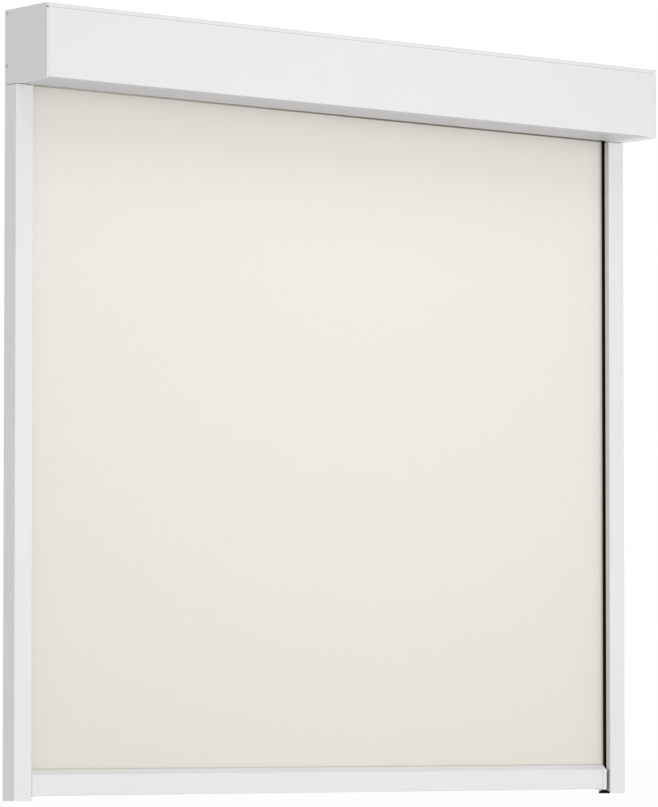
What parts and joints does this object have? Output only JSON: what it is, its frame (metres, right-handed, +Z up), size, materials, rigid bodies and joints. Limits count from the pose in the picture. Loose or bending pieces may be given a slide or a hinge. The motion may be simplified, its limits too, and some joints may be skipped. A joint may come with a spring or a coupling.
{
  "type": "exterior roller blind",
  "caption": "Zip-guided exterior roller blind: square cassette with a motor roller, two guide rails, woven screen and weighted bottom bar, screwed to a wall through its rails.",
  "frame": {"origin": "centre of the four outer wall screw holes, on the wall plane, at mid length of the rails", "axes": "+X to the right along the width seen from outside, +Y into the wall, +Z up"},
  "size_m": [1.08, 0.098, 1.054],
  "materials": {
    "white_coat": "white powder coat",
    "white_plastic": "white, fine texture",
    "dark_plastic": "black, moulded",
    "white_paint": "screws painted white",
    "screen_fabric": "woven coated yarn, cream",
    "tape": "coated tape",
    "steel": "zinc plated",
    "motor_paint": "grey paint",
    "bare_aluminium": "mill finish",
    "grey_plastic": "moulded",
    "rubber": "soft"
  },
  "bodies": {
    "frame": {"bracket_screws": "steel", "cable_grommet": "rubber", "cover_screws": "white_paint", "end_cap_left": "white_plastic", "end_cap_right": "white_plastic", "end_cap_screws": "white_paint", "fabric_screen": "screen_fabric", "front_cover": "white_coat", "housing": "white_coat", "idler_bearing": "steel", "idler_bracket": "steel", "inlet_guide_left": "dark_plastic", "inlet_guide_right": "dark_plastic", "motor_bracket": "steel", "motor_head": "grey_plastic", "motor_tube": "motor_paint", "rail_base_left": "white_coat", "rail_base_right": "white_coat", "rail_cover_left": "white_coat", "rail_cover_right": "white_coat", "rail_foot_left": "dark_plastic", "rail_foot_right": "dark_plastic", "zip_channel_left": "dark_plastic", "zip_channel_right": "dark_plastic", "zip_tape_left": "tape", "zip_tape_right": "tape"},
    "roller": {"roller_tube": "bare_aluminium", "fabric_roll": "screen_fabric", "keder_rod": "grey_plastic", "tube_plug": "grey_plastic", "idler_pin": "steel", "crown_adapter": "grey_plastic", "drive_wheel": "grey_plastic", "motor_shaft": "steel"},
    "bottom_bar": {"bar_profile": "white_coat", "bar_cap_left": "white_plastic", "bar_cap_right": "white_plastic", "bar_slider_left": "dark_plastic", "bar_slider_right": "dark_plastic", "bar_pad_left": "dark_plastic", "bar_pad_right": "dark_plastic", "weight_rod": "steel", "hem_rod": "grey_plastic", "bar_seal": "rubber", "bar_cap_screws": "steel"}
  },
  "joints": [
    {"name": "bar_lift", "type": "slide", "parent": "frame", "child": "bottom_bar", "axis": [0, 0, 1], "range_m": [0, 0.905], "deforming": ["fabric_screen", "zip_tape_left", "zip_tape_right"]},
    {"name": "tube_turn", "type": "hinge", "parent": "frame", "child": "roller", "pos_m": [0, -0.04345, 0.527], "axis": [1, 0, 0], "range_deg": [0, 1525]}
  ],
  "couplings": [
    {"joint": "tube_turn", "follows": "bar_lift", "rad_per_m": 29.3}
  ]
}
